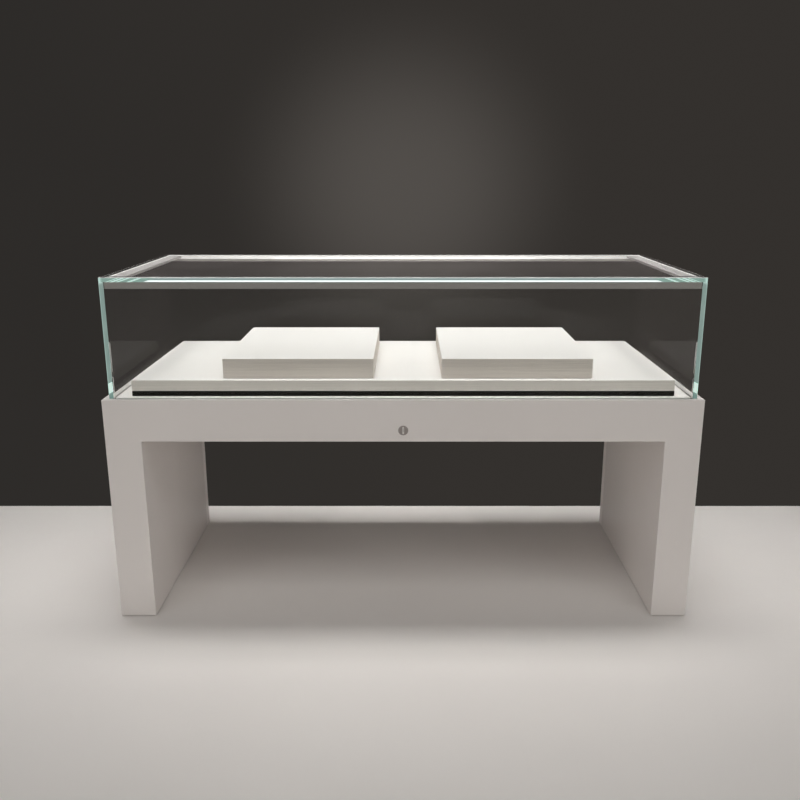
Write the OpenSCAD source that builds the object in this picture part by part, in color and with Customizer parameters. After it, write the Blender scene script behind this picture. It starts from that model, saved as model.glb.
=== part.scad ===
// Table display case: a white base with two slab legs, a lift-up glass hood and a lit display deck.
// Millimetres. +X runs along the case, the front faces -Y, +Z is up.
// The origin is on the floor under the middle of the case.

/* [Base] */
// Width of the case over both legs
case_w = 1600; // [1400:10:2000]
// Depth of the case from front to rear
case_d = 670; // [620:5:800]
// Height of the base from the floor to its top edge
base_h = 636; // [600:1:760]
// Height of the apron between the legs
apron_h = 115; // [112:1:150]
// Width of each slab leg seen from the front
leg_w = 97; // [94:1:140]
// Thickness of the casing sheet
skin_t = 3; // [2.5:0.5:4]
// Thickness of the top panel
top_t = 30; // [28:1:34]
// Height of the casing's lower edge above the floor
floor_gap = 2; // [1:0.5:4]
// How far each rear cover returns along the leg's inner face
cover_return = 34; // [20:1:60]

/* [Tube frame] */
// Width of the square frame tubes
tube_w = 30; // [25:1:32]
// Wall of the frame tubes
tube_wall = 2; // [1.5:0.5:3]
// Distance from the front face to the front tubes
front_setback = 39; // [38:1:60]
// Number of cross rails under the top panel
cross_count = 3; // [2:1:5]
// Thickness of the plate that closes each leg
plate_t = 6; // [5:0.5:8]
// Height of the leg plate's underside above the floor
plate_rise = 14; // [12:1:20]

/* [Levelling feet] */
// Radius of the foot's pad
pad_r = 14; // [10:0.5:14.5]
// Height of the foot's pad
pad_h = 8; // [5:0.5:10]
// Radius of the threaded stem
stem_r = 5; // [4:0.5:6]
// Length of the stem above the pad
stem_len = 42; // [36:1:60]

/* [Glass hood] */
// Height of the glass above the base's top edge
hood_h = 322; // [260:1:420]
// Thickness of every pane
glass_t = 12; // [10:0.5:12]
// Distance from the edge of the base to the outer glass face
glass_margin = 16; // [16:0.5:22]
// Thickness of the seal on each side of a pane
seal_t = 1; // [0.5:0.5:1]
// Thickness of the seal under a pane
seal_bed = 2; // [1:0.5:3]
// Wall of the channel rail that carries the panes
rail_wall = 2; // [1.5:0.5:2]
// Height of the channel rail, which is also its depth in the groove
rail_h = 20; // [18:1:22]
// Free gap between the rail and each groove wall
rail_gap = 1; // [0.8:0.1:1.2]
// Height of the gasket under the rail
gasket_h = 2; // [1.5:0.5:3]
// Width of the gasket under the rail
gasket_w = 3; // [2:0.5:3]
// Gap between the gasket and the groove's inner wall
gasket_gap = 0.5; // [0.5:0.1:1]

/* [Lights] */
// Depth of the front and rear light bars
bar_d = 22; // [18:1:30]
// Height of the light bars
bar_h = 18; // [16:1:24]
// Height of the solid lower part of a light bar
bar_lip = 7; // [5:0.5:8]
// Wall of a light bar
bar_wall = 1.5; // [1:0.5:2]
// Width of the flat side strips
strip_w = 43; // [30:1:60]
// Gap between each side strip and the pane beside it
strip_gap = 3; // [0:0.5:6]
// Thickness of the flat side strips
strip_t = 7; // [4:0.5:10]
// Thickness of the diffusers in the light bars
diffuser_t = 2; // [1:0.5:3]
// Thickness of the boards that carry the light sources
led_board_t = 1.6; // [1:0.1:2]

/* [Display deck] */
// Height of the dark plinth under the deck
plinth_h = 14; // [8:1:24]
// How far the plinth stays behind the deck's edge
plinth_inset = 0; // [0:1:12]
// Distance from each side of the base to the deck
deck_side = 69; // [65:1:130]
// Distance from the rear of the base to the deck
deck_rear = 73; // [68:1:106]
// Thickness of the deck
deck_t = 30; // [20:1:40]
// Distance from the front of the base to the deck
deck_front = 48; // [40:1:50]
// Width of each riser block
riser_w = 408; // [300:2:440]
// Depth of each riser block
riser_d = 480; // [400:1:500]
// Height of each riser block
riser_h = 54; // [30:1:80]
// Thickness of a riser's boards
riser_wall = 9; // [6:1:12]
// Gap between the two riser blocks
riser_gap = 184; // [120:2:240]
// How far the pair of risers stands right of the middle
riser_shift = 12; // [0:0.5:20]
// Distance from the deck's front edge to the risers
riser_front = 22; // [20:1:30]

/* [Hood hinges] */
// Number of hinges along the rear
hinge_count = 3; // [2:1:4]
// Length of one hinge
hinge_len = 90; // [70:5:120]
// Radius of the hinge barrel
barrel_r = 4.5; // [4:0.1:4.6]
// Radius of the hinge pin
hinge_pin_r = 1.75; // [1.5:0.05:1.9]
// Distance from the rear face to the hinge axis
hinge_set = 6; // [5.5:0.1:6.5]
// Thickness of the hinge leaves
leaf_t = 2; // [1.5:0.1:2]
// Distance from the outer hinges to the ends of the rear groove
hinge_end = 268; // [150:5:300]

/* [Gas struts] */
// Distance from the hinge axis forward to the pin on the hood's arm
arm_reach = 150; // [146:1:156]
// Height of the hinge axis above the pin on the hood's arm
arm_drop = 28; // [27:0.5:30]
// Distance from the hinge axis forward to the pin in the leg
seat_reach = 15; // [12:0.5:18]
// Height of the hinge axis above the pin in the leg
seat_drop = 186; // [180:1:196]
// Outer radius of the strut's cylinder
strut_r = 10; // [9:0.5:10]
// Wall of the strut's cylinder
strut_wall = 1.5; // [1:0.25:2]
// Radius of the strut's rod
rod_r = 4; // [3:0.5:4]
// Radius of the pins at both ends of the strut
strut_pin_r = 4; // [3:0.5:4]
// Free play round the pin in the rod's eye
rod_play = 2.5; // [2.4:0.1:3]
// Length of rod that shows when the hood is shut
rod_show = 28; // [24:1:40]

/* [Lock] */
// Distance from the base's top edge down to the lock
lock_drop = 84; // [78:1:86]
// Radius of the lock's face
lock_r = 13.5; // [12.5:0.5:14]
// Radius of the turning plug
plug_r = 11.5; // [10.5:0.5:11.5]
// Depth of the lock behind the front face
lock_depth = 21; // [20:0.5:21]
// Width of the slot in the plug
slot_w = 5; // [3:0.5:6]
// Length of the slot in the plug
slot_len = 20.5; // [14:0.5:20.5]
// Reach of the cam from the lock's axis to its tip
cam_len = 34; // [32:1:38]
// Width of the cam
cam_w = 14; // [12:1:16]
// Thickness of the cam
cam_t = 3; // [2:0.5:3]
// Width of the strike that hangs from the hood
strike_w = 24; // [16:1:28]

/* [Supply] */
// Distance of the power inlet from the right side
inlet_side = 300; // [240:5:380]
// Distance of the power inlet from the rear face
inlet_back = 105; // [95:1:130]
// Distance from the power inlet to the middle of the driver along the case
driver_run = 330; // [290:5:360]
// Distance from the power inlet forward to the middle of the driver
driver_fore = 170; // [150:5:200]
// Length of the lighting driver
driver_len = 160; // [120:5:200]
// Width of the lighting driver
driver_w = 56; // [40:1:60]
// Height of the lighting driver
driver_h = 30; // [24:1:34]
// Radius of the supply leads
lead_r = 3; // [2:0.5:3]

/* [Hidden] */

$fn = 48;
// Radial clearance of a shaft that turns or slides in a bore
fit = 0.05;
// Free gap between parts that move past each other
free = 0.3;
// Overshoot of a cut past the face that it opens
over = 1;

// Colours
white = [0.92, 0.91, 0.89];
bright_white = [0.97, 0.97, 0.95];
near_black = [0.06, 0.06, 0.055];
steel = [0.55, 0.56, 0.57];
dark_steel = [0.3, 0.29, 0.28];
anodised = [0.62, 0.61, 0.59];
glass = [0.72, 0.86, 0.82, 0.35];
opal = [1, 0.99, 0.96];
rubber = [0.1, 0.1, 0.1];
board_green = [0.9, 0.92, 0.9];

// Case edges
half_w = case_w / 2;
half_d = case_d / 2;
leg_in = half_w - leg_w;
apron_z = base_h - apron_h;

// Top panel and its groove
top_z = base_h - top_t;
glass_x = half_w - glass_margin;
glass_y = half_d - glass_margin;
rail_out = seal_t + rail_wall;
rail_in = glass_t + seal_t + rail_wall;
rail_x = glass_x + rail_out;
rail_y = glass_y + rail_out;
rail_in_x = glass_x - rail_in;
rail_in_y = glass_y - rail_in;
groove_x = rail_x + rail_gap;
groove_y = rail_y + rail_gap;
island_x = rail_in_x - rail_gap;
island_y = rail_in_y - rail_gap;
rail_z = base_h - rail_h;
groove_z = rail_z - gasket_h;

// Panes
pane_z = rail_z + rail_wall + seal_bed;
glass_top_z = base_h + hood_h;
pane_top = glass_top_z - glass_t;
pane_in_x = glass_x - glass_t;
pane_in_y = glass_y - glass_t;

// Tubes
beam_h = top_z - apron_z - skin_t;
beam_z = apron_z + skin_t;
post_x = half_w - leg_w / 2;
front_tube_y = -half_d + front_setback;
rear_tube_y = half_d - skin_t - tube_w;
plate_top = plate_rise + plate_t;

// Feet
hex_h = 4;
hex_rim = 4;

// Screws
head_r = 4.6;
head_h = 2.1;
shank_r = 2.4;
screw_len = 14;
socket_r = 1.75;
socket_depth = 1.6;
cover_screw_steps = [0.12, 0.5, 0.88];
beam_screw_steps = [-0.78, -0.26, 0.26, 0.78];

// Hinges
axis_y = half_d - hinge_set;
axis_z = rail_z;
knuckle = hinge_len / 3;
hinge_span = 2 * (rail_x - hinge_end);
hinge_x = [for (i = [0:hinge_count - 1]) -hinge_span / 2 + i * hinge_span / (hinge_count - 1)];
leaf_back = axis_y - barrel_r - free;
leaf_width = 15;
leaf_low = rail_z + 1;
leaf_high = base_h - 2;

// Struts
arm_y = axis_y - arm_reach;
arm_z = axis_z - arm_drop;
seat_y = axis_y - seat_reach;
seat_z = axis_z - seat_drop;
strut_len = norm([arm_y - seat_y, arm_z - seat_z]);
strut_lean = atan2(seat_y - arm_y, arm_z - seat_z);
rod_set = 6;
rod_x = groove_x - rod_set;
rod_eye_w = 6;
foot_eye_w = 10;
arm_t = 4;
arm_gap = 2;
arm_x = rod_x - rod_eye_w / 2 - arm_gap - arm_t;
eye_wall = 3.5;
rod_hole_r = strut_pin_r + rod_play;
rod_eye_r = rod_hole_r + eye_wall;
rod_neck = 2;
rod_to = strut_len - rod_eye_r - rod_neck;
foot_eye_r = strut_pin_r + 5;
neck_from = strut_pin_r + 2;
neck_len = foot_eye_r + 2;
cylinder_from = foot_eye_r + 5;
cylinder_to = strut_len - rod_show;
piston_at = cylinder_from + 42;
piston_len = 8;
guide_len = 6;
slot_side = 1.5;
strut_slot_x = [arm_x - slot_side, groove_x];
slot_fore = 19;
slot_aft = 62;
strut_slot_y = [arm_y - slot_fore, arm_y + slot_aft];
bracket_t = 2;
bracket_h = 48;
collar = 2;
clip_t = 1.5;
arm_head = 32;

// Lock
lock_z = base_h - lock_drop;
lock_flange = 40;
bore_end = 2;
spindle_r = 5;
slot_depth = 2;
flange_t = 3;
cam_gap = 2;
cam_y = -half_d + lock_depth + cam_gap;
cam_screw_h = 3;
cam_screw_rim = 1.5;
drive_w = 1.2;
drive_depth = 1;
strike_x = lock_r + 2;
strike_t = 2;
strike_gap = 3;
strike_y = cam_y - strike_gap - strike_t;
ledge_past = 4;
ledge_back = cam_y + cam_t + ledge_past;
ledge_t = 3;
ledge_gap = 1;
ledge_z = lock_z - cam_w / 2 - ledge_gap;
strike_slot_side = 2;
strike_slot_rear = 1;

// Deck
deck_w = case_w - 2 * deck_side;
deck_d = case_d - deck_front - deck_rear;
deck_y = -half_d + deck_front;
plinth_z = base_h;
deck_z = base_h + plinth_h;
riser_z = deck_z + deck_t;
riser_y = deck_y + riser_front;

// Supply
inlet_x = half_w - inlet_side;
inlet_y = half_d - inlet_back;
inlet_size = [56, 32, 32];
inlet_flange = [62, 38, 2];
socket_size = [24, 16, 16];
socket_dx = -13;
rocker_hole = [14, 22, 12];
rocker_dx = 17;
rocker_r = 10.2;
rocker_tilt = 7;
rocker_pin_r = 1.5;
rocker_z = 2;
rocker_face = [[-11, -5.4], [0, -3.6], [11, -5.4], [11, 3], [-11, 3]];
blade = [2, 4, 11];
blade_dx = 7;
blade_dy = 2;
driver_x = inlet_x - driver_run;
driver_y = inlet_y - driver_fore;
ear = 12;
ear_t = 2;
lead_z = beam_z + lead_r + free;
bend_r = 12;
contact_size = [12, 30, groove_z - top_z];
contact_set = 3;
contact_x = -groove_x + contact_set + contact_size[0] / 2;

// Box between two corners
module block(lo, hi) {
    translate(lo)
        cube(hi - lo);
}

// The right-hand piece as drawn, or its mirror image on the left
module on_side(side) {
    if (side > 0)
        children();
    else
        mirror([1, 0, 0])
            children();
}

// Both the right-hand piece and its mirror image
module on_both_sides() {
    on_side(1)
        children();
    on_side(-1)
        children();
}

// Countersunk screw whose head is flush at the origin and whose tip points along +Z
module screw(extra = 0) {
    cylinder(h = head_h, r1 = head_r + extra, r2 = shank_r + extra);
    cylinder(h = screw_len + extra, r = shank_r + extra);
}

// The same screw with the hexagon socket in its head
module socket_screw() {
    difference() {
        screw();
        translate([0, 0, -over])
            cylinder(h = socket_depth + over, r = socket_r, $fn = 6);
    }
}

// Puts a screw shape at every place where a cover or panel is fastened
module at_cover_screws() {
    for (side = [-1, 1], step = cover_screw_steps)
        translate([side * post_x, half_d, beam_z * step])
            rotate([90, 0, 0])
                children();
}

module at_rear_apron_screws() {
    for (step = beam_screw_steps)
        translate([leg_in * step, half_d, beam_z + beam_h / 2])
            rotate([90, 0, 0])
                children();
}

module at_underside_screws() {
    for (step = beam_screw_steps, y = [front_tube_y + tube_w / 2, rear_tube_y + tube_w / 2])
        translate([leg_in * step, y, apron_z])
            children();
}

module screw_cuts() {
    at_cover_screws() screw(fit);
    at_rear_apron_screws() screw(fit);
    at_underside_screws() screw(fit);
}

// Folded sheet round the front and both sides of a leg
module leg_casing(side) {
    color(white)
        on_side(side) {
            block([leg_in, -half_d, floor_gap], [half_w, -half_d + skin_t, base_h]);
            block([half_w - skin_t, -half_d, floor_gap], [half_w, half_d - skin_t, base_h]);
            block([leg_in, -half_d, floor_gap], [leg_in + skin_t, half_d - cover_return, apron_z]);
        }
}

// Front sheet between the legs, with the hole for the lock
module front_apron() {
    color(white)
        difference() {
            block([-leg_in, -half_d, apron_z], [leg_in, -half_d + skin_t, base_h]);
            translate([0, -half_d - over, lock_z])
                rotate([-90, 0, 0])
                    cylinder(h = skin_t + 2 * over, r = lock_r + fit);
        }
}

// Rear sheet between the two leg covers
module rear_apron() {
    color(white)
        difference() {
            block([-leg_in, half_d - skin_t, apron_z], [leg_in, half_d, groove_z]);
            hinge_pockets();
            screw_cuts();
        }
}

// Screwed cover that closes a leg from behind; its folded return shows on the leg's inner face
module leg_cover(side) {
    color(white)
        difference() {
            on_side(side) {
                difference() {
                    block([leg_in, half_d - skin_t, floor_gap], [half_w, half_d, base_h]);
                    block([0, half_d - skin_t - over, groove_z], [groove_x, half_d + over, base_h + over]);
                }
                block([leg_in, half_d - cover_return, floor_gap], [leg_in + skin_t, half_d, apron_z]);
            }
            screw_cuts();
        }
}

// Sheet that closes the apron box from below
module underside_panel() {
    x = leg_in + skin_t;
    color(white)
        difference() {
            block([-x, -half_d + skin_t, apron_z], [x, half_d - skin_t, beam_z]);
            inlet_place()
                translate([0, 0, inlet_size[2] / 2])
                    cube([inlet_size[0] + 2 * fit, inlet_size[1] + 2 * fit, inlet_size[2] + 2 * over],
                         center = true);
            screw_cuts();
        }
}

// Plates inside the legs that the posts stand on and the feet screw into
module leg_plates() {
    color(steel)
        difference() {
            on_both_sides()
                block([leg_in + skin_t, -half_d + skin_t, plate_rise],
                      [half_w - skin_t, half_d - skin_t, plate_top]);
            at_feet()
                translate([0, 0, plate_rise - over])
                    cylinder(h = plate_t + 2 * over, r = stem_r + fit);
        }
}

module tube_upright(x, y) {
    difference() {
        translate([x - tube_w / 2, y, plate_top])
            cube([tube_w, tube_w, beam_z - plate_top]);
        translate([x - tube_w / 2 + tube_wall, y + tube_wall, plate_top - over])
            cube([tube_w - 2 * tube_wall, tube_w - 2 * tube_wall, beam_z - plate_top + 2 * over]);
    }
}

// Four posts, two in each leg
module leg_posts() {
    color(steel)
        difference() {
            for (x = [-post_x, post_x], y = [front_tube_y, rear_tube_y])
                tube_upright(x, y);
            screw_cuts();
        }
}

// Two deep rails along the case, on top of the posts
module long_rails() {
    x = post_x + tube_w / 2;
    color(steel)
        difference() {
            for (y = [front_tube_y, rear_tube_y])
                difference() {
                    block([-x, y, beam_z], [x, y + tube_w, top_z]);
                    block([-x - over, y + tube_wall, beam_z + tube_wall],
                          [x + over, y + tube_w - tube_wall, top_z - tube_wall]);
                }
            screw_cuts();
        }
}

// Square rails across the case under the top panel
module cross_rails() {
    span = 2 * leg_in - 4 * tube_w;
    color(steel)
        for (i = [0:cross_count - 1])
            translate([-span / 2 + (i + 0.5) * span / cross_count - tube_w / 2, 0, top_z - tube_w])
                difference() {
                    block([0, front_tube_y + tube_w, 0], [tube_w, rear_tube_y, tube_w]);
                    block([tube_wall, front_tube_y + tube_w - over, tube_wall],
                          [tube_w - tube_wall, rear_tube_y + over, tube_w - tube_wall]);
                }
}

// Space that the hinge barrels and fixed leaves take out of the rear edge
module hinge_pockets() {
    for (x = hinge_x)
        translate([x, 0, 0]) {
            block([-hinge_len / 2 - free, leaf_back - free, axis_z - barrel_r - over],
                  [hinge_len / 2 + free, half_d + over, base_h + over]);
            block([-hinge_len / 2 - free, leaf_back - leaf_width - free, groove_z - leaf_t],
                  [hinge_len / 2 + free, half_d + over, base_h]);
        }
}

// Top panel with the groove for the hood's rail, open at the rear
module top_panel() {
    color(white)
        difference() {
            block([-half_w + skin_t, -half_d + skin_t, top_z], [half_w - skin_t, half_d - skin_t, base_h]);
            difference() {
                block([-groove_x, -groove_y, groove_z], [groove_x, half_d, base_h + over]);
                block([-island_x, -island_y, groove_z - over], [island_x, island_y, base_h + 2 * over]);
            }
            hinge_pockets();
            on_both_sides()
                block([strut_slot_x[0], strut_slot_y[0], top_z - over],
                      [strut_slot_x[1], strut_slot_y[1], groove_z + over]);
            block([strike_x - strike_slot_side, -groove_y, top_z - over],
                  [strike_x + strike_w + strike_slot_side, ledge_back + strike_slot_rear, groove_z + over]);
            translate([contact_x, driver_y, groove_z - contact_size[2] / 2])
                cube(contact_size + [2 * fit, 2 * fit, 2 * over], center = true);
        }
}

// Soft ring in the groove that the hood's rail shuts on
module hood_gasket() {
    x = island_x + gasket_gap;
    y = island_y + gasket_gap;
    color(rubber)
        difference() {
            block([-x - gasket_w, -y - gasket_w, groove_z], [x + gasket_w, y + gasket_w, rail_z]);
            block([-x, -y, groove_z - over], [x, y, rail_z + over]);
        }
}

// Dark board that lifts the deck off the base
module plinth() {
    x = deck_w / 2 - plinth_inset;
    color(near_black)
        block([-x, deck_y + plinth_inset, plinth_z], [x, deck_y + deck_d - plinth_inset, deck_z]);
}

module deck() {
    color(bright_white)
        block([-deck_w / 2, deck_y, deck_z], [deck_w / 2, deck_y + deck_d, riser_z]);
}

// Loose display block, made of boards and open below
module riser(side) {
    inner_w = riser_w - 2 * riser_wall;
    inner_d = riser_d - 2 * riser_wall;
    color(bright_white)
        translate([riser_shift + side * (riser_gap + riser_w) / 2, riser_y, riser_z])
            difference() {
                translate([-riser_w / 2, 0, 0])
                    cube([riser_w, riser_d, riser_h]);
                translate([-inner_w / 2, riser_wall, -over])
                    cube([inner_w, inner_d, riser_h - riser_wall + over]);
            }
}

// All countersunk screws of the covers and panels
module panel_screws() {
    color(steel) {
        at_cover_screws() socket_screw();
        at_rear_apron_screws() socket_screw();
        at_underside_screws() socket_screw();
    }
}

// Hinge barrel from x0 to x1 with its bore
module barrel(x0, x1) {
    translate([x0, axis_y, axis_z])
        rotate([0, 90, 0])
            cylinder(h = x1 - x0, r = barrel_r);
}

module barrel_bore() {
    translate([-hinge_len, axis_y, axis_z])
        rotate([0, 90, 0])
            cylinder(h = 2 * hinge_len, r = hinge_pin_r + fit);
}

// Fixed leaves, flat in the floor of the rear groove, each with two outer barrels
module hinge_leaves_base() {
    color(steel)
        for (x = hinge_x)
            translate([x, 0, 0])
                difference() {
                    union() {
                        block([-hinge_len / 2, leaf_back - leaf_width, groove_z - leaf_t],
                              [hinge_len / 2, leaf_back, groove_z]);
                        for (x0 = [-hinge_len / 2, hinge_len / 2 - knuckle]) {
                            block([x0, leaf_back - over, groove_z - leaf_t],
                                  [x0 + knuckle, axis_y, groove_z]);
                            barrel(x0, x0 + knuckle);
                        }
                    }
                    barrel_bore();
                }
}

module hinge_pins() {
    color(dark_steel)
        for (x = hinge_x)
            translate([x - hinge_len / 2, axis_y, axis_z])
                rotate([0, 90, 0])
                    cylinder(h = hinge_len, r = hinge_pin_r);
}

// Moving leaves, upright on the back of the hood's rear rail
module hinge_leaves_hood() {
    x0 = knuckle / 2 - free;
    color(steel)
        for (x = hinge_x)
            translate([x, 0, 0])
                difference() {
                    union() {
                        block([-hinge_len / 2, rail_y, leaf_low],
                              [hinge_len / 2, rail_y + leaf_t, leaf_high]);
                        block([-x0, rail_y, leaf_low], [x0, axis_y, leaf_low + leaf_t]);
                        barrel(-x0, x0);
                    }
                    barrel_bore();
                }
}

// Pin across the case at the strut's seat or at the hood's arm, from x0 to x1
module cross_pin(x0, x1, y, z, r) {
    translate([x0, y, z])
        rotate([0, 90, 0])
            cylinder(h = x1 - x0, r = r);
}

// Brackets on the rear posts that carry the struts' lower pins
module strut_brackets() {
    face = post_x + tube_w / 2;
    eye_x0 = rod_x - foot_eye_w / 2;
    eye_x1 = rod_x + foot_eye_w / 2;
    color(steel)
        on_both_sides() {
            block([face, rear_tube_y + 1, seat_z - bracket_h / 2],
                  [face + bracket_t, rear_tube_y + tube_w - 1, seat_z + bracket_h / 2]);
            cross_pin(face, eye_x0 - free, seat_y, seat_z, strut_pin_r + collar);
            cross_pin(face, eye_x1 + free + clip_t, seat_y, seat_z, strut_pin_r);
            cross_pin(eye_x1 + free, eye_x1 + free + clip_t, seat_y, seat_z, strut_pin_r + collar);
        }
}

// Puts a strut piece, drawn along +Z from its lower pin, in the leg
module strut_place(side) {
    translate([side * rod_x, seat_y, seat_z])
        rotate([strut_lean, 0, 0])
            children();
}

module strut_cylinder(side) {
    color(near_black)
        strut_place(side)
            difference() {
                union() {
                    rotate([0, 90, 0])
                        cylinder(h = foot_eye_w, r = foot_eye_r, center = true);
                    translate([0, 0, neck_from])
                        cylinder(h = neck_len, r = foot_eye_w / 2);
                    translate([0, 0, cylinder_from])
                        cylinder(h = cylinder_to - cylinder_from, r = strut_r);
                }
                rotate([0, 90, 0])
                    cylinder(h = foot_eye_w + 2 * over, r = strut_pin_r + fit, center = true);
                translate([0, 0, cylinder_from + guide_len])
                    cylinder(h = cylinder_to - cylinder_from - 2 * guide_len, r = strut_r - strut_wall);
                translate([0, 0, cylinder_to - guide_len - over])
                    cylinder(h = guide_len + 2 * over, r = rod_r + fit);
            }
}

// Rod with its piston below, and above a narrow neck and the eye round the hood's pin
module strut_rod(side) {
    color(steel)
        strut_place(side)
            difference() {
                union() {
                    translate([0, 0, piston_at])
                        cylinder(h = piston_len, r = strut_r - strut_wall - free);
                    translate([0, 0, piston_at])
                        cylinder(h = rod_to - piston_at, r = rod_r);
                    translate([0, 0, rod_to - over])
                        cylinder(h = strut_len - rod_hole_r - rod_to, r = rod_eye_w / 2);
                    translate([0, 0, strut_len])
                        rotate([0, 90, 0])
                            cylinder(h = rod_eye_w, r = rod_eye_r, center = true);
                }
                translate([0, 0, strut_len])
                    rotate([0, 90, 0])
                        cylinder(h = rod_eye_w + 2 * over, r = rod_hole_r, center = true);
            }
}

// Arms that hang from the side rails into the legs and hold the struts' upper pins
module strut_arms() {
    pin_end = rod_x + rod_eye_w / 2 + 2 * free;
    color(steel)
        on_both_sides() {
            translate([arm_x, 0, 0])
                rotate([90, 0, 90])
                    linear_extrude(arm_t) {
                        polygon([[arm_y - arm_head / 2, rail_z], [arm_y + arm_head / 2, rail_z],
                                 [arm_y + rod_eye_r, arm_z], [arm_y - rod_eye_r, arm_z]]);
                        translate([arm_y, arm_z])
                            circle(r = rod_eye_r);
                    }
            cross_pin(arm_x, pin_end, arm_y, arm_z, strut_pin_r);
            cross_pin(pin_end - free, pin_end + clip_t, arm_y, arm_z, rod_hole_r + 1);
        }
}

// Puts a lock piece, drawn along +Z from the front face, in the apron
module lock_place() {
    translate([0, -half_d, lock_z])
        rotate([-90, 0, 0])
            children();
}

module lock_barrel() {
    color(dark_steel)
        lock_place()
            difference() {
                union() {
                    cylinder(h = lock_depth, r = lock_r);
                    translate([0, 0, skin_t + flange_t / 2])
                        cube([lock_flange, lock_flange, flange_t], center = true);
                }
                translate([0, 0, -over])
                    cylinder(h = lock_depth - bore_end + over, r = plug_r + fit);
                cylinder(h = lock_depth + over, r = spindle_r + fit);
            }
}

// Turning plug with the slot in its face and a spindle for the cam
module lock_plug() {
    color(dark_steel)
        lock_place()
            difference() {
                union() {
                    cylinder(h = lock_depth - bore_end - free, r = plug_r);
                    cylinder(h = lock_depth + cam_gap + cam_t, r = spindle_r);
                }
                translate([0, 0, -over])
                    linear_extrude(slot_depth + over)
                        for (y = [-1, 1] * (slot_len - slot_w) / 2) {
                            translate([0, y])
                                circle(r = slot_w / 2);
                            square([slot_w, slot_len - slot_w], center = true);
                        }
            }
}

// Cam behind the lock, upright while the lock is open
module lock_cam() {
    color(steel)
        translate([0, cam_y + cam_t, lock_z])
            rotate([90, 0, 0])
                linear_extrude(cam_t)
                    difference() {
                        union() {
                            circle(r = cam_w / 2);
                            translate([0, cam_len - cam_w / 2])
                                circle(r = cam_w / 2);
                            translate([-cam_w / 2, 0])
                                square([cam_w, cam_len - cam_w / 2]);
                        }
                        circle(r = spindle_r + fit);
                    }
}

module cam_screw() {
    color(steel)
        translate([0, cam_y + cam_t, lock_z])
            rotate([-90, 0, 0])
                difference() {
                    cylinder(h = cam_screw_h, r = spindle_r + cam_screw_rim);
                    translate([0, 0, cam_screw_h])
                        cube([2 * spindle_r + 2, drive_w, 2 * drive_depth], center = true);
                }
}

// Strike that hangs from the hood's front rail; its ledge passes under the locked cam
module lock_strike() {
    color(steel) {
        block([strike_x, strike_y, ledge_z - ledge_t], [strike_x + strike_w, strike_y + strike_t, rail_z]);
        block([strike_x, strike_y, ledge_z - ledge_t], [strike_x + strike_w, ledge_back, ledge_z]);
    }
}

// Places of the four feet
module at_feet() {
    for (x = [-1, 1], y = [-1, 1])
        foot_place(x, y)
            children();
}

module foot_place(side, end) {
    y = end < 0 ? front_tube_y + tube_w / 2 : rear_tube_y + tube_w / 2;
    translate([side * post_x, y, 0])
        children();
}

// Levelling foot: a round pad, a hexagon for the spanner and a threaded stem
module foot(side, end) {
    color(dark_steel)
        foot_place(side, end) {
            cylinder(h = pad_h - hex_h, r = pad_r);
            translate([0, 0, pad_h - hex_h])
                cylinder(h = hex_h, r = stem_r + hex_rim, $fn = 6);
            cylinder(h = pad_h + stem_len, r = stem_r);
        }
}

module glass_top() {
    color(glass)
        block([-glass_x, -glass_y, pane_top], [glass_x, glass_y, glass_top_z]);
}

// Front or rear pane, between the side panes
module glass_long(end) {
    y = end * (glass_y + pane_in_y) / 2;
    color(glass)
        block([-pane_in_x, y - glass_t / 2, pane_z], [pane_in_x, y + glass_t / 2, pane_top]);
}

// Side pane, the full depth of the hood
module glass_side(side) {
    color(glass)
        on_side(side)
            block([pane_in_x, -glass_y, pane_z], [glass_x, glass_y, pane_top]);
}

// Channel ring that the panes stand in
module rail_ring() {
    trough_x = rail_x - rail_wall;
    trough_y = rail_y - rail_wall;
    difference() {
        block([-rail_x, -rail_y, rail_z], [rail_x, rail_y, base_h]);
        block([-rail_in_x, -rail_in_y, rail_z - over], [rail_in_x, rail_in_y, base_h + over]);
        difference() {
            block([-trough_x, -trough_y, rail_z + rail_wall], [trough_x, trough_y, base_h + over]);
            block([-rail_in_x - rail_wall, -rail_in_y - rail_wall, rail_z],
                  [rail_in_x + rail_wall, rail_in_y + rail_wall, base_h + 2 * over]);
        }
    }
}

// Plan of one mitred side of the ring; out is half its length, deep is its distance from the middle
module mitre(out, deep) {
    w = rail_out + rail_in;
    translate([0, 0, rail_z - over])
        linear_extrude(rail_h + 2 * over)
            polygon([[-out, -deep], [out, -deep], [out - w, -deep + w], [-out + w, -deep + w]]);
}

module hood_rail_long(end) {
    color(white)
        intersection() {
            rail_ring();
            rotate([0, 0, end < 0 ? 0 : 180])
                mitre(rail_x, rail_y);
        }
}

module hood_rail_side(side) {
    color(white)
        intersection() {
            rail_ring();
            rotate([0, 0, 90 * side])
                mitre(rail_y, rail_x);
        }
}

// Seal that fills the channel round the feet of the panes
module glazing_seal() {
    x = rail_x - rail_wall;
    y = rail_y - rail_wall;
    in_x = rail_in_x + rail_wall;
    in_y = rail_in_y + rail_wall;
    color(rubber)
        difference() {
            block([-x, -y, rail_z + rail_wall], [x, y, base_h]);
            block([-in_x, -in_y, rail_z], [in_x, in_y, base_h + over]);
            difference() {
                block([-glass_x, -glass_y, pane_z], [glass_x, glass_y, base_h + over]);
                block([-pane_in_x, -pane_in_y, rail_z], [pane_in_x, pane_in_y, base_h + 2 * over]);
            }
        }
}

// Puts a piece of the front bar, drawn with depth along +X and height along +Y, under the top pane
module bar_place(end) {
    rotate([0, 0, end < 0 ? 0 : 180])
        translate([-pane_in_x, -pane_in_y, pane_top - bar_h])
            rotate([90, 0, 90])
                linear_extrude(2 * pane_in_x)
                    children();
}

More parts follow.
